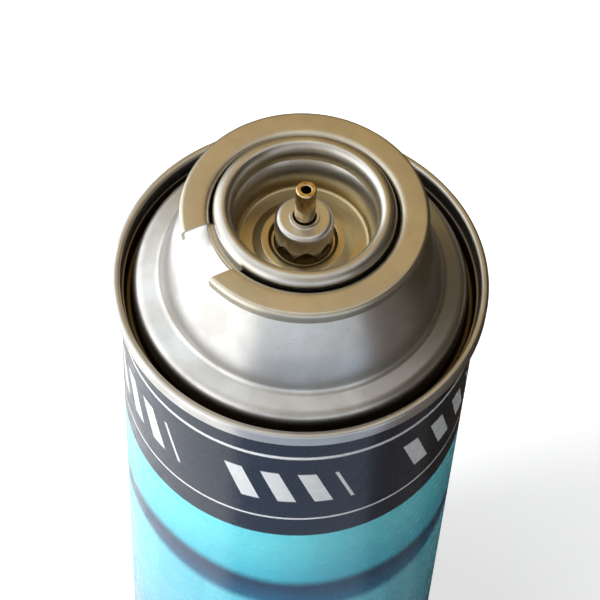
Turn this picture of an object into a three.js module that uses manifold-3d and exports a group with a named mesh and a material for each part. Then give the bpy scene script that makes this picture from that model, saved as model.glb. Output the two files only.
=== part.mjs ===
// A sealed gas canister for a portable stove, in millimetres, +Z up. The origin is at
// the centre of the base, and the alignment notch in the collar faces -Y.
import * as THREE from 'three';
import { mergeVertices } from 'three/addons/utils/BufferGeometryUtils.js';
import Module from 'manifold-3d';

// The can: a printed tube with a base and a dome seamed onto it.
const CAN_HEIGHT = 158; // base to the top of the upper seam
const BODY_RADIUS = 32.75;
const SEAM_STEP = 1.45; // how far a seam stands out from the body
const SEAM_WALL = 2.2; // across the seam, from its outer to its inner side
const SEAM_HEIGHT = 3;
const SEAM_ROUND = 0.55;
const BASE_CHUCK = 5; // depth of the wall inside the base seam
const BASE_RISE = 9.5; // height of the middle of the hollow base
const BASE_ROUND = 1.4;
const GROOVE_DEPTH = 6; // from the top of the upper seam to the bottom of its groove
const GROOVE_WIDTH = 1.5;
const SHOULDER_ROUND = 2.4; // rounding between the groove and the sloping shoulder
const SHOULDER_DROP = 1.3; // fall of the shoulder from the crease to the groove
const CREASE_RADIUS = 25.9; // where the shoulder meets the dome
const CREASE_RISE = 1.13; // height of the crease above the seam
const DOME_SPREAD = 2.6; // how far inside the crease the dome has turned
const DOME_TURN = 9.7; // and how far above it
const LEDGE_RISE = 17.85; // height above the seam of the ledge that carries the collar

// The mouth: a rolled bead that the valve cup is crimped onto.
const BEAD_RADIUS = 14.32; // middle of the bead, and of the cup's curl over it
const BEAD_WIDTH = 1.9;
const BEAD_HEIGHT = 2.5; // bead top above the ledge
const BEAD_ROUND = 0.3;
const BEAD_HOOK = 2.4; // height of the bead's inner side, which the cup locks under
const MOUTH_UNDERCUT = 0.95; // how far the neck lies back below the bead
const CUP_ROOM = 1; // space left under the cup
const WELL_RADIUS = 6.4; // space for the valve housing below the cup
const WELL_ROOM = 10; // space left under the housing's tail

// The valve cup: one thin pressing.
const SHEET = 0.4;
const CURL_RADIUS = 1.6; // of the curl's section, to its outer face
const CUP_DEPTH = 10.6; // from the top of the curl to the floor
const CUP_CORNER = 1.1;
const LOCK_BULGE = 0.9; // how far the wall is pressed out under the bead
const LOCK_HEIGHT = 2.8;
const RING_OUTER = 9; // the ring pressed up in the floor, from the outside in
const RING_CREST_OUTER = 7.4;
const RING_CREST_INNER = 6.2;
const RING_INNER = 5.8;
const RING_HEIGHT = 0.8;
const PEDESTAL_RADIUS = 5.25;
const PEDESTAL_ROUND = 0.9;
const PEDESTAL_DROP = 3.4; // from the top of the curl to the top of the pedestal
const STEM_GAP = 0.31; // round the stem, in the pedestal's hole
const HOLE_LIP = 0.25; // height of the turned-up edge of that hole

// The crimp marks that close the pedestal under the valve housing's flange.
const CRIMP_COUNT = 8;
const CRIMP_DEPTH = 0.6;
const CRIMP_HEIGHT = 3;
const CRIMP_LEVELS = 4; // steps down the height of a mark
const CRIMP_TURN = 0.14; // of one mark past the notch, in radians

// The collar: a pressed ring with a notch, held down by the cup's curl.
const COLLAR_SHEET = 0.5;
const COLLAR_RADIUS = 22;
const COLLAR_GAP = 0.71; // between the cup's curl and the collar
const COLLAR_HEIGHT = 2; // from the ledge to the collar's flat top
const COLLAR_SKIRT = 2.45; // height of its outer edge
const COLLAR_TAPER = 0.18; // how far the outer edge draws in
const COLLAR_ROUND = 0.95;
const NOTCH_WIDTH = 10.6;
const NOTCH_RIM = 0.9; // height above the ledge of the rim left in the notch

// The valve: a stem that a spring holds up against its gasket.
const STEM_RADIUS = 1.84;
const STEM_PROUD = 8.2; // stem top above the pedestal
const STEM_BORE = 0.85;
const STEM_CHAMFER = 0.3;
const STEM_TRAVEL = 2.2;
const STEM_HEAD_RADIUS = 2.6;
const STEM_HEAD_HEIGHT = 2.2;
const STEM_TAIL_RADIUS = 1.2;
const STEM_TAIL = 2.4;
const ORIFICE_RADIUS = 0.35; // the hole that the gasket closes until the stem is pressed
const GASKET_THICKNESS = 1.1;
const GASKET_WIDTH = 2.2;
const CUP_GASKET = 0.25; // thickness of the seal on the bead
const HOUSING_FLANGE = 1.6;
const FLANGE_GAP = 0.2; // round the flange, inside the pedestal
const HOUSING_WALL = 0.85;
const HOUSING_BORE_GAP = 0.4; // round the stem's head
const CHAMBER_SPARE = 4.8; // left under the stem's tail when it is pressed right down
const HOUSING_FLOOR = 1.2;
const TAIL_RADIUS = 2.2;
const TAIL_BORE = 1.1;
const TAIL_LENGTH = 7;
const SPRING_WIRE = 0.5;
const SPRING_GAP = 0.35; // between the wire and the chamber's wall
const SPRING_TURNS = 6;

const FIT = 0.1; // clearance between pieces that seat on each other
const SLIDE = 0.12; // clearance round the stem in its gasket
const OVERCUT = 1; // how far a cutting block stands out of what it cuts
const MOST = 0.95; // share of a straight that a rounded corner may use up

// Facets round each piece, and steps along its curves.
const CAN_FACETS = 40;
const CUP_FACETS = CRIMP_COUNT * 6;
const VALVE_FACETS = 24;
const CORNER_STEPS = 2;
const BASE_STEPS = 4;
const DOME_STEPS = 7;
const CURL_STEPS = 6;
const WIRE_FACETS = 6;
const COIL_STEPS = 12;

// Sizes that several pieces share.
const seamRadius = BODY_RADIUS + SEAM_STEP;
const chuckRadius = seamRadius - SEAM_WALL;
const ledgeZ = CAN_HEIGHT + LEDGE_RISE;
const neckInner = BEAD_RADIUS - BEAD_WIDTH / 2;
const neckOuter = BEAD_RADIUS + BEAD_WIDTH / 2;
const beadTopZ = ledgeZ + BEAD_HEIGHT;
const hookZ = beadTopZ - BEAD_HOOK;
const lipTopZ = ledgeZ + COLLAR_SHEET;
const collarInner = BEAD_RADIUS + CURL_RADIUS + COLLAR_GAP;
const sealTopZ = beadTopZ + CUP_GASKET;
const sealHalf = BEAD_WIDTH / 2 - FIT;
const curlZ = sealTopZ + FIT - Math.sqrt((CURL_RADIUS - SHEET) ** 2 - sealHalf ** 2);
const curlTopZ = curlZ + CURL_RADIUS;
const floorZ = curlTopZ - CUP_DEPTH;
const pedestalZ = curlTopZ - PEDESTAL_DROP;
const gasketTopZ = pedestalZ - SHEET;
const gasketZ = gasketTopZ - GASKET_THICKNESS;
const housingTopZ = gasketZ - FIT;
const flangeZ = housingTopZ - HOUSING_FLANGE;
const flangeRadius = PEDESTAL_RADIUS - SHEET - FLANGE_GAP;
const housingBore = STEM_HEAD_RADIUS + HOUSING_BORE_GAP;
const headZ = housingTopZ - STEM_HEAD_HEIGHT;
const chamberZ = headZ - STEM_TAIL - STEM_TRAVEL - CHAMBER_SPARE;
const tailZ = chamberZ - HOUSING_FLOOR - TAIL_LENGTH;

/** A profile drawn point by point, as (radius, height). */
class Outline {
  constructor(r, z) {
    this.points = [new THREE.Vector2(r, z)];
  }

  to(r, z) {
    this.points.push(new THREE.Vector2(r, z));
    return this;
  }

  /** Curves to (r, z), heading first for the control point. */
  curve(controlR, controlZ, r, z, steps) {
    const start = this.points.at(-1);
    const control = new THREE.Vector2(controlR, controlZ);
    const bend = new THREE.QuadraticBezierCurve(start, control, new THREE.Vector2(r, z));
    this.points.push(...bend.getPoints(steps).slice(1));
    return this;
  }

  /** Goes round a rounded corner at (r, z) towards the next point, which is yet to come. */
  corner(r, z, nextR, nextZ, radius) {
    const at = new THREE.Vector2(r, z);
    const before = this.points.at(-1).clone().sub(at);
    const after = new THREE.Vector2(nextR, nextZ).sub(at);
    const wanted = radius / Math.tan(before.angleTo(after) / 2);
    const cut = Math.min(wanted, before.length() * MOST, (after.length() * MOST) / 2);
    const start = at.clone().addScaledVector(before.normalize(), cut);
    const end = at.clone().addScaledVector(after.normalize(), cut);
    return this.to(start.x, start.y).curve(r, z, end.x, end.y, CORNER_STEPS);
  }
}

/** Both sides of a sheet whose middle runs along a line drawn outwards from the axis. */
function sheetAlong(middle, thickness) {
  const under = [];
  const over = [];
  middle.forEach((point, i) => {
    const back = middle[Math.max(i - 1, 0)];
    const ahead = middle[Math.min(i + 1, middle.length - 1)];
    const into = point.clone().sub(back).normalize();
    const out = ahead.clone().sub(point).normalize();
    const way = into.clone().add(out).normalize();
    const square = Math.max(way.dot(into), way.dot(out));
    const side = new THREE.Vector2(way.y, -way.x).multiplyScalar(thickness / 2 / square);
    under.push(point.clone().add(side));
    over.unshift(point.clone().sub(side));
  });
  return [...under, ...over, under[0].clone()];
}

/** Turns a profile about the can's axis. */
function turned(points, facets) {
  const geometry = new THREE.LatheGeometry(points, facets);
  geometry.rotateX(Math.PI / 2);
  return geometry;
}

/** A ring with flat faces. */
function ring(inner, outer, bottom, top, facets) {
  const section = new Outline(inner, bottom).to(outer, bottom).to(outer, top).to(inner, top).to(inner, bottom);
  return turned(section.points, facets);
}

const wasm = await Module();
wasm.setup();

/** The solid that a closed geometry holds. */
function solid(geometry) {
  const bare = geometry.clone();
  bare.deleteAttribute('normal');
  bare.deleteAttribute('uv');
  const merged = mergeVertices(bare);
  const corners = merged.index.array;
  const triangles = [];
  for (let i = 0; i < corners.length; i += 3) {
    const [a, b, c] = corners.slice(i, i + 3);
    if (a !== b && b !== c && c !== a) triangles.push(a, b, c);
  }
  const vertProperties = new Float32Array(merged.attributes.position.array);
  return new wasm.Manifold(new wasm.Mesh({ numProp: 3, vertProperties, triVerts: new Uint32Array(triangles) }));
}

/** What is left of a geometry once the others are cut from it. */
function cutFrom(geometry, cutters) {
  const body = cutters.reduce((rest, cutter) => rest.subtract(solid(cutter)), solid(geometry));
  const mesh = body.getMesh();
  const result = new THREE.BufferGeometry();
  result.setAttribute('position', new THREE.BufferAttribute(new Float32Array(mesh.vertProperties), 3));
  result.setIndex(new THREE.BufferAttribute(new Uint32Array(mesh.triVerts), 1));
  result.computeVertexNormals();
  return result;
}

/** The sealed can, with a well at its mouth for the valve. */
function canGeometry() {
  const baseTurn = chuckRadius - BASE_ROUND;
  const seamLow = CAN_HEIGHT - SEAM_HEIGHT;
  const grooveZ = CAN_HEIGHT - GROOVE_DEPTH;
  const grooveInner = chuckRadius - GROOVE_WIDTH;
  const creaseZ = CAN_HEIGHT + CREASE_RISE;
  const shoulderZ = creaseZ - SHOULDER_DROP;
  const ledgeRadius = collarInner + COLLAR_SHEET + FIT;
  const neckZ = hookZ - MOUTH_UNDERCUT;
  const undercut = neckInner + MOUTH_UNDERCUT;
  const roomZ = floorZ - SHEET - CUP_ROOM;
  const wellZ = tailZ - WELL_ROOM;
  const outline = new Outline(0, BASE_RISE)
    // the hollow base, the lower seam and the body
    .curve(baseTurn / 2, BASE_RISE, baseTurn, BASE_CHUCK, BASE_STEPS)
    .corner(chuckRadius, BASE_CHUCK, chuckRadius, 0, BASE_ROUND / 2)
    .corner(chuckRadius, 0, seamRadius, 0, SEAM_ROUND)
    .corner(seamRadius, 0, seamRadius, SEAM_HEIGHT, SEAM_ROUND)
    .corner(seamRadius, SEAM_HEIGHT, BODY_RADIUS, SEAM_HEIGHT, SEAM_ROUND)
    .to(BODY_RADIUS, SEAM_HEIGHT)
    .to(BODY_RADIUS, seamLow)
    // the upper seam and the groove inside it
    .corner(seamRadius, seamLow, seamRadius, CAN_HEIGHT, SEAM_ROUND)
    .corner(seamRadius, CAN_HEIGHT, chuckRadius, CAN_HEIGHT, SEAM_ROUND)
    .corner(chuckRadius, CAN_HEIGHT, chuckRadius, grooveZ, SEAM_ROUND)
    .corner(chuckRadius, grooveZ, grooveInner, grooveZ, GROOVE_WIDTH / 2)
    .corner(grooveInner, grooveZ, grooveInner, shoulderZ, GROOVE_WIDTH / 2)
    // the shoulder, the crease and the dome
    .corner(grooveInner, shoulderZ, CREASE_RADIUS, creaseZ, SHOULDER_ROUND)
    .to(CREASE_RADIUS, creaseZ)
    .curve(CREASE_RADIUS - DOME_SPREAD, creaseZ + DOME_TURN, ledgeRadius, ledgeZ, DOME_STEPS)
    // the ledge, the neck and its bead
    .to(neckOuter, ledgeZ)
    .corner(neckOuter, beadTopZ, neckInner, beadTopZ, BEAD_ROUND)
    .corner(neckInner, beadTopZ, neckInner, hookZ, BEAD_ROUND)
    .to(neckInner, hookZ)
    .to(undercut, neckZ)
    // the well that the cup and the valve hang in
    .to(undercut, roomZ)
    .to(WELL_RADIUS, roomZ)
    .to(WELL_RADIUS, wellZ)
    .to(0, wellZ);
  return turned(outline.points, CAN_FACETS);
}

/** The collar: a lip on the ledge, a wall up to the flat top, and the outer edge down. */
function collarGeometry() {
  const half = COLLAR_SHEET / 2;
  const wall = collarInner + half;
  const rim = COLLAR_RADIUS - half;
  const topZ = ledgeZ + COLLAR_HEIGHT;
  const skirtZ = topZ - COLLAR_SKIRT;
  const middle = new Outline(neckOuter + FIT, ledgeZ + half)
    .to(wall, ledgeZ + half)
    .corner(wall, topZ - half, rim, topZ - half, COLLAR_ROUND - half)
    .corner(rim, topZ - half, rim - COLLAR_TAPER, skirtZ, COLLAR_ROUND - half)
    .to(rim - COLLAR_TAPER, skirtZ);
  const reach = COLLAR_RADIUS + OVERCUT;
  const upper = block(reach, reach, ledgeZ + NOTCH_RIM, topZ + OVERCUT);
  const outer = block(reach, reach - wall - half, skirtZ - OVERCUT, topZ + OVERCUT);
  return cutFrom(turned(sheetAlong(middle.points, COLLAR_SHEET), CAN_FACETS), [upper, outer]);
}

/** A block as wide as the notch, going in from y = -reach. */
function block(reach, depth, bottom, top) {
  const geometry = new THREE.BoxGeometry(NOTCH_WIDTH, depth, top - bottom);
  geometry.translate(0, depth / 2 - reach, (bottom + top) / 2);
  return geometry;
}

/** The valve cup, from the edge of the stem hole to the lower edge of its curl. */
function cupGeometry() {
  const half = SHEET / 2;
  const hole = STEM_RADIUS + STEM_GAP + half;
  const skirt = PEDESTAL_RADIUS - half;
  const wall = BEAD_RADIUS - CURL_RADIUS + half;
  const base = floorZ - half;
  const crest = base + RING_HEIGHT;
  const lockZ = hookZ - LOCK_HEIGHT / 2;
  const crimpTopZ = flangeZ - FIT;
  const middle = new Outline(hole, pedestalZ + HOLE_LIP)
    .to(hole, pedestalZ - half)
    .corner(skirt, pedestalZ - half, skirt, crimpTopZ, PEDESTAL_ROUND - half);
  for (let level = 0; level <= CRIMP_LEVELS; level++) {
    middle.to(skirt, crimpTopZ - (CRIMP_HEIGHT * level) / CRIMP_LEVELS);
  }
  middle
    .to(skirt, base)
    .to(RING_INNER, base)
    .to(RING_CREST_INNER, crest)
    .to(RING_CREST_OUTER, crest)
    .to(RING_OUTER, base)
    .corner(wall, base, wall, lockZ - LOCK_HEIGHT / 2, CUP_CORNER - half)
    .to(wall, lockZ - LOCK_HEIGHT / 2)
    .to(wall + LOCK_BULGE, lockZ)
    .to(wall, hookZ);
  for (let step = 0; step <= CURL_STEPS; step++) {
    const turn = (Math.PI * step) / CURL_STEPS;
    const reach = CURL_RADIUS - half;
    middle.to(BEAD_RADIUS - reach * Math.cos(turn), curlZ + reach * Math.sin(turn));
  }
  middle.to(BEAD_RADIUS + CURL_RADIUS - half, lipTopZ + FIT);
  const geometry = turned(sheetAlong(middle.points, SHEET), CUP_FACETS);
  pressCrimps(geometry, crimpTopZ);
  return geometry;
}

/** Presses the crimp marks into the pedestal's wall, with sharp ridges left between them. */
function pressCrimps(geometry, topZ) {
  const position = geometry.attributes.position;
  for (let i = 0; i < position.count; i++) {
    const [x, y, z] = [position.getX(i), position.getY(i), position.getZ(i)];
    const down = (topZ - z) / CRIMP_HEIGHT;
    const radius = Math.hypot(x, y);
    if (down > 0 && down < 1 && radius < RING_INNER) {
      const angle = Math.atan2(x, -y) - CRIMP_TURN;
      const across = Math.abs(Math.cos((angle * CRIMP_COUNT) / 2));
      const share = (radius - CRIMP_DEPTH * across * Math.sin(Math.PI * down)) / radius;
      position.setXY(i, x * share, y * share);
    }
  }
}

/** The plastic cup that hangs in the pedestal and holds the spring. */
function housingGeometry() {
  const body = housingBore + HOUSING_WALL;
  const outline = new Outline(TAIL_BORE, tailZ)
    .to(TAIL_RADIUS, tailZ)
    .to(TAIL_RADIUS, chamberZ - HOUSING_FLOOR)
    .to(body, chamberZ - HOUSING_FLOOR)
    .to(body, flangeZ)
    .to(flangeRadius, flangeZ)
    .to(flangeRadius, housingTopZ)
    .to(housingBore, housingTopZ)
    .to(housingBore, chamberZ)
    .to(TAIL_BORE, chamberZ)
    .to(TAIL_BORE, tailZ);
  return turned(outline.points, VALVE_FACETS);
}

/** The hollow stem, with the head that seals and the tail that centres the spring. */
function stemGeometry() {
  const topZ = pedestalZ + STEM_PROUD;
  const orificeZ = (gasketZ + gasketTopZ) / 2;
  const boreZ = orificeZ - ORIFICE_RADIUS * 2;
  const outline = new Outline(0, headZ - STEM_TAIL)
    .to(STEM_TAIL_RADIUS, headZ - STEM_TAIL)
    .to(STEM_TAIL_RADIUS, headZ)
    .to(STEM_HEAD_RADIUS, headZ)
    .to(STEM_HEAD_RADIUS, housingTopZ)
    .to(STEM_RADIUS, housingTopZ)
    .to(STEM_RADIUS, topZ - STEM_CHAMFER)
    .to(STEM_RADIUS - STEM_CHAMFER, topZ)
    .to(STEM_BORE + STEM_CHAMFER, topZ)
    .to(STEM_BORE, topZ - STEM_CHAMFER)
    .to(STEM_BORE, boreZ)
    .to(0, boreZ);
  const orifice = new THREE.CylinderGeometry(ORIFICE_RADIUS, ORIFICE_RADIUS, STEM_RADIUS * 2, WIRE_FACETS);
  orifice.translate(0, STEM_RADIUS, 0);
  orifice.translate(0, 0, orificeZ);
  return cutFrom(turned(outline.points, VALVE_FACETS), [orifice]);
}

/** The line that the spring's wire follows. */
class Coil extends THREE.Curve {
  getPoint(t, target = new THREE.Vector3()) {
    const radius = housingBore - SPRING_GAP - SPRING_WIRE / 2;
    const low = chamberZ + SPRING_WIRE;
    const high = headZ - SPRING_WIRE;
    const angle = 2 * Math.PI * SPRING_TURNS * t;
    return target.set(radius * Math.cos(angle), radius * Math.sin(angle), low + (high - low) * t);
  }
}

function springGeometry() {
  const section = new THREE.Shape();
  section.absarc(0, 0, SPRING_WIRE / 2, 0, 2 * Math.PI);
  return new THREE.ExtrudeGeometry(section, {
    extrudePath: new Coil(),
    steps: SPRING_TURNS * COIL_STEPS,
    curveSegments: WIRE_FACETS / 2,
  });
}

const part = new THREE.Group();

function add(name, geometry, color, roughness, metalness) {
  const mesh = new THREE.Mesh(geometry, new THREE.MeshStandardMaterial({ color, roughness, metalness }));
  mesh.name = name;
  part.add(mesh);
}

const gasketInner = STEM_RADIUS + SLIDE;
const gasketOuter = gasketInner + GASKET_WIDTH;
const sealInner = BEAD_RADIUS - sealHalf;
const sealOuter = BEAD_RADIUS + sealHalf;

add('can', canGeometry(), 0x2f9bbf, 0.35, 0.6);
add('collar', collarGeometry(), 0xb9a37c, 0.35, 1);
add('valve_cup', cupGeometry(), 0xb5a27e, 0.3, 1);
add('cup_gasket', ring(sealInner, sealOuter, beadTopZ, sealTopZ, CUP_FACETS), 0x24211f, 0.8, 0);
add('stem_gasket', ring(gasketInner, gasketOuter, gasketZ, gasketTopZ, VALVE_FACETS), 0x151413, 0.7, 0);
add('valve_housing', housingGeometry(), 0xdcdbd4, 0.5, 0);
add('valve_spring', springGeometry(), 0xa9abad, 0.3, 1);
add('valve_stem', stemGeometry(), 0xc9b184, 0.15, 1);

export default part;
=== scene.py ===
# The looks of the gas canister. Profiles are in millimetres, as (radius, height), and
# everything else is in metres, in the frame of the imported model.
from math import asin, cos, pi, radians, sin

import bpy
from mathutils import Euler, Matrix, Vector

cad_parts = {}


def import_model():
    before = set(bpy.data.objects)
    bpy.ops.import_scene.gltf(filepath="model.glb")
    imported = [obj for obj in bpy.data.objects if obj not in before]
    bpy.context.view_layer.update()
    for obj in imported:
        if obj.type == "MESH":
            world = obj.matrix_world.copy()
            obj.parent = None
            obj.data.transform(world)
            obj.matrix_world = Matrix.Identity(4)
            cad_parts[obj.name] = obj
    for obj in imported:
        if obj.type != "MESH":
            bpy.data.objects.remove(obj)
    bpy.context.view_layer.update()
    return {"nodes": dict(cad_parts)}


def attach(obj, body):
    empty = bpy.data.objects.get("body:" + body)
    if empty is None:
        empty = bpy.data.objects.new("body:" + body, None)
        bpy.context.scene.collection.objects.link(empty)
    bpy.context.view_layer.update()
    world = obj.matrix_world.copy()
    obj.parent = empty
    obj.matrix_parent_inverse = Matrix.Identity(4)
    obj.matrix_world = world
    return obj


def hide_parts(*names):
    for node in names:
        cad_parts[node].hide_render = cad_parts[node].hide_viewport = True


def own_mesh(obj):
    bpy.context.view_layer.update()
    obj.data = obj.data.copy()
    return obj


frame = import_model()

MM = 0.001
FINE = 320  # facets round the can and its pressings

# The can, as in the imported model.
CAN_HEIGHT = 158
BODY_RADIUS = 32.75
SEAM_RADIUS = 34.2
CHUCK_RADIUS = 32
SEAM_HEIGHT = 3
GROOVE_Z = 152
LEDGE_Z = 175.85
NECK_RADIUS = 15.27
BEAD_TOP = 178.35
MOUTH_RADIUS = 13.37
COLLAR_INNER = 16.63
COLLAR_RADIUS = 22
COLLAR_TOP = 177.85
COLLAR_SHEET = 0.5
NOTCH_HALF = 5.3
NOTCH_RIM = 176.75
CURL_R = 14.32
CURL_Z = 177.853
CURL_RADIUS = 1.6
SHEET = 0.4
FLOOR_Z = 168.853
PEDESTAL_Z = 176.053
STEM_TOP = 184.253
STEM_RADIUS = 1.84
STEM_BORE = 0.85

# The finer shape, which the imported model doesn't have.
TUBE_WALL = 0.6  # the sheet's thickness where the can's pressings are drawn from inside
HIDDEN = 0.02  # how far an edge is sunk into the piece that it meets
SEAM_INNER = 32.75  # at its top; the wall leans in to CHUCK_RADIUS
SHOULDER_RADIUS = 30.5
SHOULDER_Z = 157.83
BEAD_ROUND = 0.3
HOOK_Z = 175.95
CRIMPS = 8
CRIMP_TOP = 172.4
CRIMP_HEIGHT = 3.2
CRIMP_DEPTH = 0.65
CRIMP_DROP = 2.4  # how much lower a mark starts at its sides than at its middle

# The print, in metres.
BAND_Z = 0.1196
LINES = ((0.1478, 0.0009), (0.1258, 0.0006))  # each one's height and thickness
BARS_LOW, BARS_HIGH = 0.1325, 0.1425
BAR_PITCH = 0.0068
GROUP_PITCH = 0.034
PANEL_PITCH = 0.0257


class Path:
    """A profile drawn point by point."""

    def __init__(self, r, z):
        self.points = [Vector((r, z))]

    def to(self, r, z):
        self.points.append(Vector((r, z)))
        return self

    def curve(self, control, end, steps=14):
        start, control, end = self.points[-1], Vector(control), Vector(end)
        for step in range(1, steps + 1):
            t = step / steps
            self.to(*(start * (1 - t) ** 2 + control * 2 * t * (1 - t) + end * t * t))
        return self

    def corner(self, at, towards, radius, steps=6):
        """Rounds the corner at a point, on the way towards the next one.

        The rounding may take up all of the way behind it, and half of the way ahead.
        """
        at, towards = Vector(at), Vector(towards)
        behind, before = self.points[-1] - at, towards - at
        back, ahead = behind.normalized(), before.normalized()
        half = back.angle(ahead) / 2
        cut = radius / max(0.05, abs(sin(half) / cos(half)))
        cut = min(cut, behind.length * 0.98, before.length * 0.49)
        self.to(*(at + back * cut))
        return self.curve(at, at + ahead * cut, steps)


def sheet(middle, thickness):
    """Both sides of a sheet whose middle runs along a profile, as one closed profile."""
    under, over = [], []
    for i, point in enumerate(middle):
        into = point - middle[max(i - 1, 0)]
        out = middle[min(i + 1, len(middle) - 1)] - point
        into, out = (into or out).normalized(), (out or into).normalized()
        way = (into + out).normalized()
        side = Vector((way.y, -way.x)) * (thickness / 2 / max(way.dot(into), way.dot(out)))
        under.append(point + side)
        over.insert(0, point - side)
    return under + over


def thinned(points, least=0.01):
    """A closed profile without points that lie on each other."""
    kept = []
    for point in points:
        if not kept or (point - kept[-1]).length > least:
            kept.append(point)
    if (kept[0] - kept[-1]).length <= least:
        kept.pop()
    return kept


def make(name, corners, faces, sharp=40):
    mesh = bpy.data.meshes.new(name)
    mesh.from_pydata(corners, [], faces)
    mesh.validate()
    for face in mesh.polygons:
        face.use_smooth = True
    mesh.set_sharp_from_angle(angle=radians(sharp))
    piece = bpy.data.objects.new(name, mesh)
    bpy.context.scene.collection.objects.link(piece)
    return piece


def place(point, angle):
    """A profile's point at an angle from the notch, seen from above anticlockwise."""
    return (point[0] * sin(angle) * MM, -point[0] * cos(angle) * MM, point[1] * MM)


def revolve(name, points, segments=FINE, shape=None, sharp=40):
    """Turns a closed profile about the axis. shape(r, z, angle) may move a point's radius."""
    points = thinned(points)
    count = len(points)
    corners, ids = [], {}
    for s in range(segments):
        angle = 2 * pi * s / segments
        for j, (r, z) in enumerate(points):
            if r < 1e-6:
                if s == 0:
                    corners.append((0, 0, z * MM))
                    ids[0, j] = len(corners) - 1
                ids[s, j] = ids[0, j]
                continue
            radius = shape(r, z, angle) if shape else r
            corners.append(place((radius, z), angle))
            ids[s, j] = len(corners) - 1
    faces = []
    for s in range(segments):
        after = (s + 1) % segments
        for j in range(count):
            k = (j + 1) % count
            ring = [ids[s, j], ids[after, j], ids[after, k], ids[s, k]]
            face = [v for i, v in enumerate(ring) if v != ring[i - 1]]
            if len(face) > 2:
                faces.append(face)
    return make(name, corners, faces, sharp)


# ---- shaders


class Shader:
    """A material built around one Principled node."""

    def __init__(self, name, **sockets):
        self.material = bpy.data.materials.new(name)
        self.material.use_nodes = True
        self.tree = self.material.node_tree
        self.surface = self.tree.nodes["Principled BSDF"]
        self.place = self.node("TexCoord").outputs["Object"]
        for socket, value in sockets.items():
            self.set(socket.replace("_", " "), value)

    def set(self, socket, value):
        self.feed(self.surface.inputs[socket], value)

    def feed(self, socket, value):
        if isinstance(value, bpy.types.NodeSocket):
            self.tree.links.new(value, socket)
        elif value is not None:
            socket.default_value = value

    def node(self, kind, *inputs, **settings):
        node = self.tree.nodes.new("ShaderNode" + kind)
        for key, value in settings.items():
            setattr(node, key, value)
        for socket, value in zip(node.inputs, inputs):
            self.feed(socket, value)
        return node

    def math(self, operation, *inputs):
        return self.node("Math", *inputs, operation=operation).outputs[0]

    def times(self, a, b):
        return self.math("MULTIPLY", a, b)

    def polar(self):
        """Distance from the axis, angle from the notch and height."""
        x, y, z = self.node("SeparateXYZ", self.place).outputs
        out = self.math("SQRT", self.math("ADD", self.times(x, x), self.times(y, y)))
        turn = self.math("ARCTAN2", x, self.times(y, -1.0))
        return out, turn, z

    def point(self, x, y, z):
        return self.node("CombineXYZ", x, y, z).outputs[0]

    def stretched(self, *scales):
        """The place, with each axis scaled by itself."""
        return self.node("VectorMath", self.place, scales, operation="MULTIPLY").outputs[0]

    def noise(self, point, scale, detail=3.0, rough=0.55):
        made = self.node("TexNoise")
        self.feed(made.inputs["Vector"], point)
        self.feed(made.inputs["Scale"], scale)
        self.feed(made.inputs["Detail"], detail)
        self.feed(made.inputs["Roughness"], rough)
        return made.outputs[0]

    def spread(self, value, low, high, to_low=0.0, to_high=1.0):
        """Maps low..high of a value to to_low..to_high, softly and held at the ends."""
        made = self.node("MapRange", value, low, high, to_low, to_high)
        made.interpolation_type = "SMOOTHSTEP"
        return made.outputs[0]

    def mix(self, share, a, b):
        made = self.node("Mix", data_type="RGBA")
        self.feed(made.inputs[0], share)
        self.feed(made.inputs[6], a)
        self.feed(made.inputs[7], b)
        return made.outputs[2]

    def bump(self, height, depth, strength=1.0, normal=None):
        made = self.node("Bump")
        self.feed(made.inputs["Strength"], strength)
        self.feed(made.inputs["Distance"], depth)
        self.feed(made.inputs["Height"], height)
        self.feed(made.inputs["Normal"], normal)
        return made.outputs[0]


def rgb(red, green, blue):
    """A colour from its screen values, 0 to 255."""
    def line(value):
        value /= 255
        return value / 12.92 if value <= 0.04045 else ((value + 0.055) / 1.055) ** 2.4
    return (line(red), line(green), line(blue), 1)


def tinplate(name, tone, dark, rough, drawn, painted_light_bands):
    """Bare sheet metal: rolling marks along y, tool marks round the axis and small specks.

    drawn is the tool marks' share of the two. Each band of the last argument paints light
    into the colour, as painted shade in a recess or as a painted reflection: its middle radius,
    half its width, the heights between which the paint ends, the angle beside the notch
    where it starts, and its colour.
    """
    made = Shader(name, Metallic=1.0)
    out, turn, z = made.polar()
    rolled = made.noise(made.stretched(7000.0, 260.0, 260.0), 1.0, 4.0, 0.6)
    rings = made.point(made.times(out, 6500.0), made.times(turn, 1.2), made.times(z, 6500.0))
    tooled = made.noise(rings, 1.0, 2.0)
    cloud = made.noise(made.place, 160.0, 4.0, 0.5)
    speck = made.spread(made.noise(made.place, 2600.0, 2.0, 0.5), 0.74, 0.78)
    dull = made.spread(made.noise(made.place, 7000.0, 1.0), 0.35, 0.7, 0.0, 0.22)
    blend = made.node("Mix", drawn, data_type="FLOAT")
    made.feed(blend.inputs[2], rolled)
    made.feed(blend.inputs[3], tooled)
    marks = blend.outputs[0]
    skin = made.mix(made.spread(cloud, 0.3, 0.72), tone, dark)
    skin = made.mix(speck, skin, rgb(96, 82, 62))
    skin = made.mix(dull, skin, rgb(150, 142, 124))
    # painted light: each band darkens a recess as painted shade, or tints a flat as a painted
    # reflection
    for middle, half, low, high, beside, painted_colour in painted_light_bands:
        off = made.math("ABSOLUTE", made.math("SUBTRACT", out, middle * MM))
        near = made.spread(off, half * MM, half * 1.35 * MM, 1.0, 0.0)
        deep = made.times(near, made.spread(z, low * MM, high * MM, 1.0, 0.0))
        clear = made.spread(made.math("ABSOLUTE", turn), beside, beside + 0.04)
        skin = made.mix(made.times(deep, clear), skin, painted_colour)
    made.set("Base Color", skin)
    worn = made.spread(marks, 0.25, 0.75, rough - 0.03, rough + 0.05)
    made.set("Roughness", made.math("ADD", worn, made.spread(cloud, 0.35, 0.7, -0.02, 0.03)))
    grain = made.bump(marks, 0.0000015, 0.6)
    made.set("Normal", made.bump(cloud, 0.00003, 0.2, grain))
    return made.material


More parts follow.
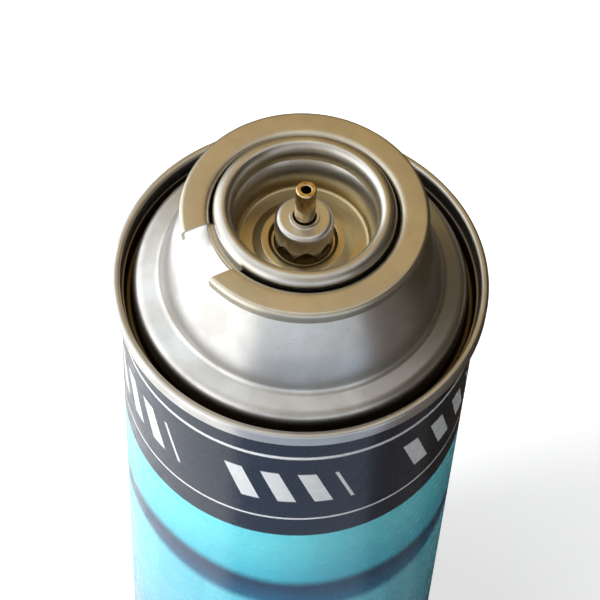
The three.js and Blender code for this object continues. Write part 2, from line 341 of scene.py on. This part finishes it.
def printed():
    """Glossy print over the tube: fields of blue, one soft dark wave and plain white bars."""
    made = Shader("print", Specular_IOR_Level=0.24)
    out, turn, z = made.polar()
    navy, white = rgb(24, 36, 56), rgb(232, 236, 238)
    arc = made.times(turn, BODY_RADIUS * MM)

    def edge(height, soft=0.0002):
        """1 above a height, 0 below it."""
        return made.spread(z, height - soft, height + soft)

    def wave(middle, swing, shift, ripple):
        """A height that rises and falls twice round the can, with a faster ripple on it."""
        slow = made.math("SINE", made.math("ADD", made.times(turn, 2.0), shift))
        fast = made.math("SINE", made.math("ADD", made.times(turn, 4.0), shift * 1.7))
        lift = made.math("ADD", made.times(slow, swing), made.times(fast, ripple))
        return made.math("ADD", lift, middle)

    def stripes(value, period, share):
        """1 on part of every period, 0 between. The added length keeps the value above 0."""
        part = made.math("FRACT", made.math("DIVIDE", made.math("ADD", value, 0.2), period))
        return made.math("LESS_THAN", part, share)

    # the field under the band: light at its top, deeper towards the wave
    crest = wave(0.0985, 0.0022, 0.6, 0.0008)
    trough = wave(0.0925, 0.0030, 1.5, 0.0006)
    sky = made.mix(made.spread(z, 0.097, 0.117), rgb(72, 196, 222), rgb(112, 232, 246))
    sea = made.mix(made.spread(z, 0.02, 0.09), rgb(30, 92, 138), rgb(104, 214, 234))
    hatch = made.point(made.times(turn, 1.2), 0.0, made.times(z, 900.0))
    fine = made.spread(made.noise(hatch, 1.0, 3.0), 0.35, 0.7)
    sea = made.mix(made.times(fine, 0.35), sea, rgb(150, 222, 232))
    sea = made.mix(made.times(stripes(arc, PANEL_PITCH, 0.5), 0.12), sea, rgb(20, 96, 140))
    deep = made.mix(made.spread(z, 0.088, 0.100), rgb(30, 120, 160), rgb(34, 66, 98))
    under = made.spread(made.math("SUBTRACT", z, trough), -0.0028, 0.0008)
    over = made.spread(made.math("SUBTRACT", z, crest), -0.0006, 0.0032)
    colour = made.mix(over, made.mix(under, sea, deep), sky)
    # the band, with two white lines and slanted bars between them
    colour = made.mix(edge(BAND_Z), colour, navy)
    slant = made.math("ADD", arc, made.times(z, 0.35))
    bars = made.times(stripes(slant, BAR_PITCH, 0.5), edge(BARS_LOW))
    bars = made.times(bars, made.math("SUBTRACT", 1.0, edge(BARS_HIGH)))
    marks = made.times(bars, stripes(slant, GROUP_PITCH, 0.62))
    crisp = 0.00005
    for height, thick in LINES:
        line = made.math("SUBTRACT", edge(height, crisp), edge(height + thick, crisp))
        marks = made.math("MAXIMUM", marks, line)
    colour = made.mix(marks, colour, white)
    # the unprinted strip along the weld at the back
    back = made.math("SUBTRACT", pi, made.math("ABSOLUTE", turn))
    away = made.times(back, BODY_RADIUS * MM)
    bare = made.spread(away, 0.0021, 0.0023, 1.0, 0.0)
    weld = made.spread(away, 0.0005, 0.0009, 1.0, 0.0)
    metal = made.mix(weld, rgb(196, 192, 184), rgb(96, 92, 88))
    dust = made.noise(made.place, 420.0, 4.0)
    colour = made.mix(made.times(made.spread(dust, 0.55, 0.8), 0.1), colour, rgb(20, 40, 60))
    made.set("Base Color", made.mix(bare, colour, metal))
    made.set("Metallic", bare)
    made.set("Roughness", made.spread(dust, 0.3, 0.75, 0.2, 0.32))
    ink = made.times(marks, 0.6)
    made.set("Normal", made.bump(made.math("ADD", dust, ink), 0.00002, 0.5))
    return made.material


def polished(name, tone, rough):
    """Turned and plated metal, with fine lathe marks."""
    made = Shader(name, Metallic=1.0)
    out, turn, z = made.polar()
    rings = made.point(made.times(out, 9000.0), turn, made.times(z, 9000.0))
    lathe = made.noise(rings, 1.0, 2.0)
    tarnish = made.noise(made.place, 900.0, 4.0)
    made.set("Base Color", made.mix(made.spread(tarnish, 0.4, 0.75), tone, rgb(150, 120, 78)))
    made.set("Roughness", made.spread(lathe, 0.3, 0.7, rough, rough + 0.08))
    made.set("Normal", made.bump(lathe, 0.000003, 0.7))
    return made.material


def moulded(name, light, dark, rough, scale):
    """Plain moulded rubber or plastic."""
    made = Shader(name)
    grain = made.noise(made.place, scale, 4.0)
    made.set("Base Color", made.mix(made.spread(grain, 0.3, 0.7), light, dark))
    made.set("Roughness", made.spread(grain, 0.3, 0.7, rough - 0.06, rough + 0.08))
    made.set("Normal", made.bump(grain, 0.00002, 0.6))
    return made.material


def wire():
    """Drawn spring wire."""
    made = Shader("spring_wire", Metallic=1.0)
    grain = made.noise(made.stretched(400.0, 400.0, 9000.0), 1.0)
    made.set("Base Color", made.mix(grain, rgb(205, 206, 208), rgb(150, 150, 152)))
    made.set("Roughness", made.spread(grain, 0.3, 0.7, 0.22, 0.34))
    return made.material


# ---- pieces


def add(piece, body, material, slot, *nodes):
    piece.data.materials.append(material)
    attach(piece, body)
    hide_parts(*nodes)
    return piece


def can_top():
    """The upper seam, groove, shoulder, dome, neck and bead, and back down out of sight."""
    seam_low, inside = CAN_HEIGHT - SEAM_HEIGHT, BODY_RADIUS - TUBE_WALL
    line = Path(BODY_RADIUS - HIDDEN, seam_low + HIDDEN)
    line.corner((SEAM_RADIUS, seam_low), (SEAM_RADIUS, CAN_HEIGHT), 0.5)
    line.corner((SEAM_RADIUS, CAN_HEIGHT), (SEAM_INNER, CAN_HEIGHT), 0.68, 10)
    line.corner((SEAM_INNER, CAN_HEIGHT), (CHUCK_RADIUS, GROOVE_Z), 0.68, 10)
    line.corner((CHUCK_RADIUS, GROOVE_Z), (SHOULDER_RADIUS, GROOVE_Z), 0.75)
    line.corner((SHOULDER_RADIUS, GROOVE_Z), (SHOULDER_RADIUS, SHOULDER_Z), 0.75)
    line.corner((SHOULDER_RADIUS, SHOULDER_Z), (25.7, 159.19), 2.7, 16)
    line.to(26.5, 158.96).curve((25.6, 159.25), (25.4, 160.3), 10)
    line.curve((22.9, 168.9), (17.23, LEDGE_Z), 40)
    line.to(NECK_RADIUS, LEDGE_Z).to(NECK_RADIUS, BEAD_TOP - BEAD_ROUND)
    line.curve((NECK_RADIUS, BEAD_TOP), (NECK_RADIUS - BEAD_ROUND, BEAD_TOP), 4)
    line.to(MOUTH_RADIUS + BEAD_ROUND, BEAD_TOP)
    line.curve((MOUTH_RADIUS, BEAD_TOP), (MOUTH_RADIUS, BEAD_TOP - BEAD_ROUND), 4)
    line.to(MOUTH_RADIUS, HOOK_Z).to(14.32, 175.0).to(16.6, 175.0).to(23, 168).to(25.2, 158.6)
    line.to(29.9, 157.3).to(29.9, 151.5).to(inside, 151.5).to(inside, seam_low + HIDDEN)
    return revolve("can_top", line.points)


def can_base():
    """The lower seam and the base, which curves up into the can."""
    panel, depth, rise = 30.6, 5, 9.5
    inside, over = BODY_RADIUS - TUBE_WALL, depth + TUBE_WALL
    line = Path(0, rise).curve((panel / 2, rise), (panel, depth), 24)
    line.corner((CHUCK_RADIUS, depth), (CHUCK_RADIUS, 0), 0.7)
    line.corner((CHUCK_RADIUS, 0), (SEAM_RADIUS, 0), 0.55)
    line.corner((SEAM_RADIUS, 0), (SEAM_RADIUS, SEAM_HEIGHT), 0.55)
    line.corner((SEAM_RADIUS, SEAM_HEIGHT), (BODY_RADIUS, SEAM_HEIGHT), 0.5)
    line.to(BODY_RADIUS - HIDDEN, SEAM_HEIGHT - HIDDEN).to(inside, SEAM_HEIGHT).to(inside, over)
    line.to(panel, over).curve((panel / 2, rise + TUBE_WALL), (0, rise + TUBE_WALL), 24)
    return revolve("can_base", line.points)


def body_tube():
    """The printed tube, whose ends are tucked into both seams."""
    tuck, wall, rows = 0.3, 0.3, 12
    low, high = SEAM_HEIGHT - tuck, CAN_HEIGHT - SEAM_HEIGHT + tuck
    line = Path(BODY_RADIUS, low)
    for step in range(1, rows + 1):
        line.to(BODY_RADIUS, low + (high - low) * step / rows)
    line.to(BODY_RADIUS - wall, high).to(BODY_RADIUS - wall, low)
    return revolve("body_tube", line.points)


def collar_fine():
    """The pressed ring.

    Its notch leaves only a low rim, so the ring's upper part stops at the notch's sides.
    """
    half = COLLAR_SHEET / 2
    wall, rim = COLLAR_INNER + half, COLLAR_RADIUS - half
    top, skirt = COLLAR_TOP - half, COLLAR_TOP - 2.45
    draft = 0.18  # how far the skirt leans in
    gap = 0.02  # from the low rim's edge to the first point above it
    middle = Path(15.37, LEDGE_Z + half)
    middle.corner((wall, LEDGE_Z + half), (wall, NOTCH_RIM), 0.15, 2).to(wall, NOTCH_RIM)
    middle.to(wall, NOTCH_RIM + gap).curve((wall, top), (wall + 1.4, top), 16).to(19, top)
    middle.corner((rim, top), (rim - draft, skirt), 0.6, 8).to(rim - draft, skirt)
    points = thinned(sheet(middle.points, COLLAR_SHEET))
    low = [p.x < wall + half + gap / 2 and p.y < NOTCH_RIM + gap / 2 for p in points]
    sides = [asin(NOTCH_HALF / p.x) for p in points]
    count, segments = len(points), FINE
    last = segments * count
    corners, faces = [], []
    for s in range(segments + 1):
        for p, side in zip(points, sides):
            corners.append(place(p, side + (2 * pi - 2 * side) * s / segments))
    for s in range(segments):
        for j in range(count):
            k = (j + 1) % count
            a, b = s * count, (s + 1) * count
            faces.append((a + j, b + j, b + k, a + k))
    # the low rim across the notch
    across = 28
    columns = [[last + j for j in range(count)]]
    for s in range(1, across):
        columns.append([len(corners) + j for j in range(count)])
        for p, side in zip(points, sides):
            corners.append(place(p, -side + 2 * side * s / across))
    columns.append(list(range(count)))
    ends = [
        j for j in range(count)
        if low[j] and not (low[j - 1] and low[(j + 1) % count])
        and abs(points[j].y - NOTCH_RIM) < gap
    ]
    outer, inner = ends
    for here, after in zip(columns, columns[1:]):
        for j in range(count):
            k = (j + 1) % count
            if low[j] and low[k]:
                faces.append((here[j], after[j], after[k], here[k]))
        faces.append((here[outer], after[outer], after[inner], here[inner]))
    # the cut ends of the upper part
    upper = [j for j in range(count) if not low[j] or j in ends]
    faces.append(upper[::-1])
    faces.append([last + j for j in upper])
    used = sorted({v for f in faces for v in f})
    index = {v: i for i, v in enumerate(used)}
    faces = [[index[v] for v in f] for f in faces]
    piece = make("collar_fine", [corners[v] for v in used], faces, 35)
    soften = piece.modifiers.new("cut_edges", "BEVEL")
    soften.width = 0.07 * MM
    soften.segments = 2
    soften.limit_method = "ANGLE"
    soften.angle_limit = radians(60)
    return piece


def crimped(r, z, angle):
    """Presses the crimp marks into the pedestal's wall, and leaves the rest as it is."""
    foot, beyond = FLOOR_Z + 0.3, 5.6
    if r > beyond or not foot < z < CRIMP_TOP:
        return r
    across = abs(cos((angle - pi / CRIMPS) * CRIMPS / 2))
    start = CRIMP_TOP - CRIMP_DROP * (1 - across)
    inward = min(max((start - z) / 0.8, 0), 1) * min((z - foot) / 0.9, 1)
    return r - CRIMP_DEPTH * inward * inward * (3 - 2 * inward)


def cup_fine():
    """The cup from the stem's hole outwards: pedestal, floor, wall with its bulge and curl."""
    half, rows = SHEET / 2, 18
    hole, skirt, top = 2.15 + half, 5.25 - half, PEDESTAL_Z - half
    wall, base = CURL_R - CURL_RADIUS + half, FLOOR_Z - half
    ring = base + 0.8
    line = Path(hole, PEDESTAL_Z + 0.4)
    line.corner((hole, top), (skirt, top), 0.45, 6)
    line.corner((skirt, top), (skirt, CRIMP_TOP), 1.0, 10)
    for step in range(rows + 1):
        line.to(skirt, CRIMP_TOP - CRIMP_HEIGHT * step / rows)
    line.corner((skirt, base), (5.8, base), 0.3, 4)
    line.corner((5.8, base), (6.2, ring), 0.3, 4).corner((6.2, ring), (7.4, ring), 0.3, 4)
    line.corner((7.4, ring), (9, base), 0.5, 5).corner((9, base), (wall, base), 0.6, 5)
    line.corner((wall - 0.8, base), (wall - 0.55, 171.2), 1.2, 8).to(wall - 0.55, 171.2)
    line.curve((wall - 0.1, 173.5), (wall + 1.05, 174.8), 12)
    line.curve((wall + 1.3, 175.15), (wall + 0.7, 175.4), 5)
    line.curve((wall, 175.7), (wall, 176.2), 6)
    # the curl: its inner roll starts lower than its outer one, which reaches further
    reach, roll = CURL_RADIUS - half, 176.7
    inner_steps, outer_steps, outer = 16, 14, reach + 0.22
    for step in range(inner_steps + 1):
        angle = pi / 2 * step / inner_steps
        line.to(CURL_R - reach * cos(angle), roll + (CURL_Z + reach - roll) * sin(angle))
    for step in range(1, outer_steps + 1):
        angle = pi / 2 * step / outer_steps
        line.to(CURL_R + outer * sin(angle), CURL_Z + reach * cos(angle))
    line.to(CURL_R + outer, 176.45)
    return revolve("cup_fine", sheet(thinned(line.points), SHEET), 384, crimped, 30)


def stem_fine():
    """The hollow stem, on the head that the spring pushes against the gasket."""
    foot, head_low, head_top, bore_end = 169.85, 172.253, 174.453, 174.4
    line = Path(0, foot).to(1.2, foot).to(1.2, head_low).to(2.6, head_low).to(2.6, head_top)
    line.to(STEM_RADIUS, head_top)
    line.corner((STEM_RADIUS, STEM_TOP), (STEM_BORE, STEM_TOP), 0.3, 6)
    line.corner((STEM_BORE, STEM_TOP), (STEM_BORE, 170), 0.28, 6)
    line.to(STEM_BORE, bore_end).to(0, bore_end)
    return revolve("stem_fine", line.points, 128)


def spring_fine():
    """The coil, with its end turns closed up."""
    radius, wire_radius, sides, low, high = 2.4, 0.25, 10, 163.36, 171.74
    steps, turns = 320, 7.5
    share, rise = 0.1, 0.055  # each closed end's share of the wire, and of the height
    corners, faces = [], []
    for step in range(steps + 1):
        t = step / steps
        turn = 2 * pi * turns * t
        climb = (1 - 2 * rise) * min(max((t - share) / (1 - 2 * share), 0), 1)
        climb += rise * min(t / share, 1) + rise * max((t - 1 + share) / share, 0)
        height = low + (high - low) * climb
        for side in range(sides):
            angle = 2 * pi * side / sides
            out = radius + wire_radius * cos(angle)
            corners.append(place((out, height + wire_radius * sin(angle)), turn))
            if step:
                a, b = (step - 1) * sides, (side + 1) % sides
                faces.append((a + side, a + sides + side, a + sides + b, a + b))
    faces.append(list(range(sides)))
    faces.append([steps * sides + side for side in reversed(range(sides))])
    return make("spring_fine", corners, faces)


# painted light, in order: painted shade in the gap between collar and curl; painted shade in the
# can's groove and the crimp hollows; a painted tan reflection on the cup's floor
gap_shade, recess_shade, tan_reflection = rgb(20, 17, 12), rgb(84, 69, 43), rgb(188, 169, 128)
ALL_ROUND, BESIDE_NOTCH = -1.0, 0.32
can_metal = tinplate(
    "can_tinplate", rgb(202, 200, 196), rgb(186, 183, 177), 0.33, 0.45,
    # painted shade in the groove between the seam and the shoulder, fading up its walls
    [(31.0, 2.0, 153.5, 157.6, ALL_ROUND, recess_shade)],
)
collar_metal = tinplate(
    "collar_tinplate", rgb(206, 199, 183), rgb(192, 183, 163), 0.34, 0.3,
    # painted shade on the collar's inner wall low down, in the gap round the curl, away from the
    # notch
    [(16.0, 0.9, 177.0, 177.4, BESIDE_NOTCH, gap_shade)],
)
cup_metal = tinplate(
    "cup_tinplate", rgb(206, 203, 196), rgb(190, 186, 176), 0.31, 0.7,
    [
        # painted shade on the curl's outer side low down, in the gap under the collar, away from the
        # notch
        (16.1, 0.85, 175.9, 176.8, BESIDE_NOTCH, gap_shade),
        # painted tan reflection on the cup's floor and its ring
        (8.6, 4.0, 169.8, 171.4, ALL_ROUND, tan_reflection),
        # painted shade in the crimp hollows at the pedestal's foot
        (4.0, 1.1, 171.0, 172.2, ALL_ROUND, recess_shade),
    ],
)
stem_metal = polished("stem_plating", rgb(214, 190, 148), 0.12)

add(body_tube(), "canister", printed(), "printed_tinplate", "can")
add(can_top(), "canister", can_metal, "tinplate", "can")
add(can_base(), "canister", can_metal, "tinplate", "can")
add(collar_fine(), "canister", collar_metal, "tinplate", "collar")
add(cup_fine(), "canister", cup_metal, "tinplate", "valve_cup")
add(stem_fine(), "stem", stem_metal, "stem_metal", "valve_stem")

coil = add(spring_fine(), "canister", wire(), "spring_steel", "valve_spring")
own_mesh(coil)

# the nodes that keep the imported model's meshes
rubber = moulded("gasket_rubber", rgb(30, 29, 28), rgb(46, 44, 42), 0.6, 1800.0)
plain = {
    "cup_gasket": rubber,
    "stem_gasket": rubber,
    "valve_housing": moulded("housing_plastic", rgb(232, 230, 222), rgb(214, 212, 202), 0.42, 700.0),
}
for node, material in plain.items():
    mesh = frame["nodes"][node].data
    mesh.materials.clear()
    mesh.materials.append(material)


# ---- floor, cards, lamps and camera


def glow(name, colour, level):
    """A card's material, an even light."""
    made = bpy.data.materials.new(name)
    made.use_nodes = True
    made.node_tree.nodes.clear()
    lit = made.node_tree.nodes.new("ShaderNodeEmission")
    lit.inputs["Color"].default_value = colour
    lit.inputs["Strength"].default_value = level
    end = made.node_tree.nodes.new("ShaderNodeOutputMaterial")
    made.node_tree.links.new(lit.outputs[0], end.inputs[0])
    return made


TARGET = Vector((0, 0, 0.165))  # the can's top, which the cards and lamps face


def direction(azimuth, elevation):
    """The unit vector. Azimuth 0 is +X."""
    flat = cos(elevation)
    return Vector((flat * cos(azimuth), flat * sin(azimuth), sin(elevation)))


def card(name, turns, rises, colour, level=1.0, distance=0.8, steps=10):
    """A bent card round the can's top, between two azimuths and two elevations.

    It lies just over the floor where it would pass below it. Only reflections show it.
    """
    above_floor = 0.002
    corners, faces = [], []
    for i in range(steps + 1):
        for j in range(steps + 1):
            a = radians(turns[0] + (turns[1] - turns[0]) * i / steps)
            e = radians(rises[0] + (rises[1] - rises[0]) * j / steps)
            reach = min(distance, (TARGET.z - above_floor) / sin(-e)) if e < 0 else distance
            corners.append(TARGET + direction(a, e) * reach)
            if i < steps and j < steps:
                k = i * (steps + 1) + j
                faces.append((k, k + 1, k + steps + 2, k + steps + 1))
    piece = make(name, corners, faces)
    piece.data.materials.append(glow(name + "_glow", (*colour, 1), level))
    piece.visible_camera = False
    piece.visible_diffuse = False
    piece.visible_shadow = False


def floor():
    """White paper under the can. It shines a little where it is seen, and keeps its shadow."""
    size = 3.0
    corners = [(-size, -size, 0), (size, -size, 0), (size, size, 0), (-size, size, 0)]
    piece = make("floor", corners, [(0, 1, 2, 3)])
    made = Shader("floor_paper", Roughness=0.9, Base_Color=(0.8, 0.8, 0.8, 1))
    made.set("Emission Color", (1, 1, 1, 1))
    path = made.node("LightPath").outputs
    seen = made.math("MAXIMUM", path["Is Camera Ray"], path["Is Transmission Ray"])
    seen = made.math("MAXIMUM", seen, path["Is Glossy Ray"])
    made.set("Emission Strength", made.math("MULTIPLY", seen, 0.65))
    fibre = made.noise(made.place, 900.0, 2.0)
    made.set("Normal", made.bump(fibre, 0.00002, 0.2))
    piece.data.materials.append(made.material)


def world():
    """White where it is seen or mirrored, and dim as a light."""
    space = bpy.data.worlds.new("studio")
    bpy.context.scene.world = space
    space.use_nodes = True
    tree = space.node_tree
    ground = tree.nodes["Background"]
    ground.inputs["Color"].default_value = (1, 1, 1, 1)
    path = tree.nodes.new("ShaderNodeLightPath").outputs
    seen = path["Is Camera Ray"]
    for ray in ("Is Glossy Ray", "Is Transmission Ray"):
        either = tree.nodes.new("ShaderNodeMath")
        either.operation = "MAXIMUM"
        tree.links.new(seen, either.inputs[0])
        tree.links.new(path[ray], either.inputs[1])
        seen = either.outputs[0]
    level = tree.nodes.new("ShaderNodeMapRange")
    tree.links.new(seen, level.inputs[0])
    level.inputs["To Min"].default_value = 0.13
    level.inputs["To Max"].default_value = 1.0
    tree.links.new(level.outputs[0], ground.inputs["Strength"])


def lamp(name, azimuth, elevation, distance, size, watts):
    light = bpy.data.lights.new(name, "AREA")
    light.shape = "DISK"
    light.size = size
    light.energy = watts
    at = bpy.data.objects.new(name, light)
    at.location = TARGET + direction(radians(azimuth), radians(elevation)) * distance
    at.rotation_euler = (at.location - TARGET).to_track_quat("Z", "Y").to_euler()
    at.visible_glossy = False
    bpy.context.scene.collection.objects.link(at)


floor()
world()
card("card_tan", (122, 178), (40, 72), (0.70, 0.48, 0.175))
card("card_tan_low", (122, 178), (6, 40), (0.46, 0.33, 0.14))
card("card_right_low", (60, 122), (-80, 25), (0.050, 0.038, 0.022))
card("card_right_near", (18, 60), (-80, 25), (0.17, 0.14, 0.12))
card("card_right_high", (18, 122), (25, 62), (0.085, 0.065, 0.040))
card("card_back", (122, 192), (-80, 6), (0.085, 0.070, 0.045))
card("card_near_low", (-62, 18), (-75, -8), (0.52, 0.61, 0.76))
card("card_near", (-62, 18), (-8, 28), (0.96, 1.04, 1.16), 0.98)
card("card_near_high", (-50, 18), (28, 76), (0.56, 0.53, 0.49))
card("card_left", (-168, -62), (-42, 38), (1.0, 1.02, 1.06), 2.2)
card("card_sky", (-182, -110), (38, 78), (0.96, 1.04, 1.12), 1.6)
lamp("key", -94, 38, 0.9, 0.45, 9.2)
lamp("top", -100, 70, 1.0, 0.5, 3.0)

camera = bpy.data.cameras.new("camera")
camera.lens = 146.625
camera.sensor_width = 36
viewer = bpy.data.objects.new("camera", camera)
viewer.location = (0.21477, -0.12611, 0.52372)
viewer.rotation_euler = Euler((radians(33.61473), radians(-2.02804), radians(62.6)))
bpy.context.scene.collection.objects.link(viewer)
bpy.context.scene.camera = viewer
bpy.context.scene.view_settings.view_transform = "Standard"
